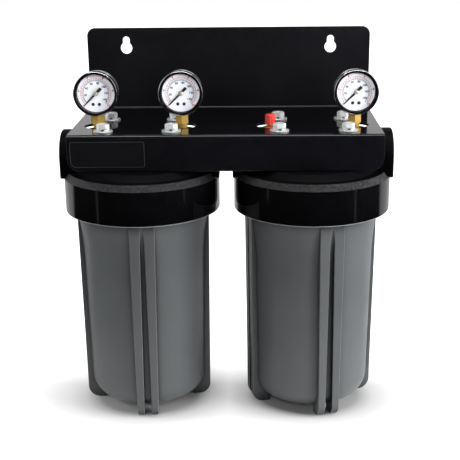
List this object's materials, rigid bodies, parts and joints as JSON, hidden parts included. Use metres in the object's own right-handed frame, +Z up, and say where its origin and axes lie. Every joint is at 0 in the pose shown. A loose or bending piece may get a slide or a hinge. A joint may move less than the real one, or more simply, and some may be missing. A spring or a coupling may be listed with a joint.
{
  "type": "dual-stage water filter",
  "caption": "Two large threaded filter housings hung under a folded wall bracket, with bottom-entry dial gauges and a red pressure relief button.",
  "frame": {"origin": "on the floor under the middle of the assembly, where the sump feet stand", "axes": "+Z up; +Y to the wall, so the gauges and the lip face -Y; +X along the bracket from inlet to outlet"},
  "size_m": [0.387, 0.2164, 0.443],
  "materials": {
    "black_steel": "smooth gloss black powder coat",
    "black_plastic": "gloss black moulding with a fine matte chamfer",
    "grey_plastic": "satin dark grey moulding",
    "zinc_steel": "bright zinc plate",
    "red_plastic": "bright red gloss",
    "rubber": "smooth black rubber",
    "white_plastic": "white moulding",
    "filter_medium": "pleated white medium",
    "carbon": "pressed carbon, dull",
    "brass": "machined brass",
    "chrome": "polished",
    "glass": "clear window",
    "dial_white": null,
    "black_paint": "black enamel",
    "black_screw": "blackened"
  },
  "bodies": {
    "root": {"bracket": "black_steel", "head_1": "black_plastic", "head_2": "black_plastic", "connecting_nipple": "zinc_steel", "bolts": "zinc_steel", "spring_washers": "zinc_steel", "flat_washers": "zinc_steel", "relief_body": "brass", "relief_spring": "zinc_steel", "dial_screws": "black_screw", "gauge_1_case": "chrome", "gauge_1_bezel": "chrome", "gauge_1_window": "glass", "gauge_1_dial": "dial_white", "gauge_1_socket": "brass", "gauge_1_bourdon_tube": "brass", "gauge_1_movement_frame": "brass", "gauge_2_case": "chrome", "gauge_2_bezel": "chrome", "gauge_2_window": "glass", "gauge_2_dial": "dial_white", "gauge_2_socket": "brass", "gauge_2_bourdon_tube": "brass", "gauge_2_movement_frame": "brass", "gauge_3_case": "chrome", "gauge_3_bezel": "chrome", "gauge_3_window": "glass", "gauge_3_dial": "dial_white", "gauge_3_socket": "brass", "gauge_3_bourdon_tube": "brass", "gauge_3_movement_frame": "brass"},
    "cartridge_1": {"sediment_lower_cap": "white_plastic", "sediment_upper_cap": "white_plastic", "sediment_core": "white_plastic", "sediment_pleats": "filter_medium"},
    "cartridge_2": {"carbon_lower_cap": "white_plastic", "carbon_upper_cap": "white_plastic", "carbon_core": "white_plastic", "carbon_block": "carbon", "carbon_lower_gasket": "rubber", "carbon_upper_gasket": "rubber"},
    "sump_1": {"sump_1": "grey_plastic", "sump_seal_1": "rubber"},
    "sump_2": {"sump_2": "grey_plastic", "sump_seal_2": "rubber"},
    "relief_button": {"relief_button": "red_plastic", "relief_seal": "rubber"},
    "gauge_1_pointer": {"gauge_1_pointer": "black_paint", "gauge_1_spindle": "brass"},
    "gauge_1_sector": {"gauge_1_sector": "brass"},
    "gauge_1_link": {"gauge_1_link": "brass"},
    "gauge_2_pointer": {"gauge_2_pointer": "black_paint", "gauge_2_spindle": "brass"},
    "gauge_2_sector": {"gauge_2_sector": "brass"},
    "gauge_2_link": {"gauge_2_link": "brass"},
    "gauge_3_pointer": {"gauge_3_pointer": "black_paint", "gauge_3_spindle": "brass"},
    "gauge_3_sector": {"gauge_3_sector": "brass"},
    "gauge_3_link": {"gauge_3_link": "brass"}
  },
  "joints": [
    {"name": "sump_1_drop", "type": "slide", "parent": "root", "child": "cartridge_1", "axis": [0, 0, -1], "range_m": [0, 0.036]},
    {"name": "sump_1_unscrew", "type": "hinge", "parent": "cartridge_1", "child": "sump_1", "pos_m": [-0.1005, -0.0162, 0], "axis": [0, 0, -1], "range_deg": [0, 1620]},
    {"name": "sump_2_drop", "type": "slide", "parent": "root", "child": "cartridge_2", "axis": [0, 0, -1], "range_m": [0, 0.036]},
    {"name": "sump_2_unscrew", "type": "hinge", "parent": "cartridge_2", "child": "sump_2", "pos_m": [0.1005, -0.0162, 0], "axis": [0, 0, -1], "range_deg": [0, 1620]},
    {"name": "relief_press", "type": "slide", "parent": "root", "child": "relief_button", "axis": [0, 0, -1], "range_m": [0, 0.0025], "stiffness_N_per_m": 600, "springref_m": -0.003, "deforming": ["relief_spring"]},
    {"name": "gauge_1_needle", "type": "hinge", "parent": "root", "child": "gauge_1_pointer", "pos_m": [-0.1495, -0.0162, 0.382], "axis": [0, 1, 0], "range_deg": [0, 270], "stiffness_Nm_per_rad": 0.0004, "springref_deg": -22.92},
    {"name": "gauge_1_sector_swing", "type": "hinge", "parent": "root", "child": "gauge_1_sector", "pos_m": [-0.1398, -0.0162, 0.3876], "axis": [0, -1, 0], "range_deg": [0, 45]},
    {"name": "gauge_1_link_swing", "type": "hinge", "parent": "gauge_1_sector", "child": "gauge_1_link", "pos_m": [-0.13594, -0.0162, 0.383], "axis": [0, 1, 0], "range_deg": [0, 45]},
    {"name": "gauge_2_needle", "type": "hinge", "parent": "root", "child": "gauge_2_pointer", "pos_m": [-0.0515, -0.0162, 0.382], "axis": [0, 1, 0], "range_deg": [0, 270], "stiffness_Nm_per_rad": 0.0004, "springref_deg": -22.92},
    {"name": "gauge_2_sector_swing", "type": "hinge", "parent": "root", "child": "gauge_2_sector", "pos_m": [-0.0418, -0.0162, 0.3876], "axis": [0, -1, 0], "range_deg": [0, 45]},
    {"name": "gauge_2_link_swing", "type": "hinge", "parent": "gauge_2_sector", "child": "gauge_2_link", "pos_m": [-0.03794, -0.0162, 0.383], "axis": [0, 1, 0], "range_deg": [0, 45]},
    {"name": "gauge_3_needle", "type": "hinge", "parent": "root", "child": "gauge_3_pointer", "pos_m": [0.1495, -0.0162, 0.382], "axis": [0, 1, 0], "range_deg": [0, 270], "stiffness_Nm_per_rad": 0.0004, "springref_deg": -22.92},
    {"name": "gauge_3_sector_swing", "type": "hinge", "parent": "root", "child": "gauge_3_sector", "pos_m": [0.1592, -0.0162, 0.3876], "axis": [0, -1, 0], "range_deg": [0, 45]},
    {"name": "gauge_3_link_swing", "type": "hinge", "parent": "gauge_3_sector", "child": "gauge_3_link", "pos_m": [0.16306, -0.0162, 0.383], "axis": [0, 1, 0], "range_deg": [0, 45]}
  ],
  "couplings": [
    {"joint": "sump_1_drop", "follows": "sump_1_unscrew", "m_per_rad": 0.001273},
    {"joint": "sump_2_drop", "follows": "sump_2_unscrew", "m_per_rad": 0.001273},
    {"joint": "gauge_1_sector_swing", "follows": "gauge_1_needle", "ratio": 0.16666},
    {"joint": "gauge_1_link_swing", "follows": "gauge_1_needle", "ratio": 0.16666},
    {"joint": "gauge_2_sector_swing", "follows": "gauge_2_needle", "ratio": 0.16666},
    {"joint": "gauge_2_link_swing", "follows": "gauge_2_needle", "ratio": 0.16666},
    {"joint": "gauge_3_sector_swing", "follows": "gauge_3_needle", "ratio": 0.16666},
    {"joint": "gauge_3_link_swing", "follows": "gauge_3_needle", "ratio": 0.16666}
  ]
}
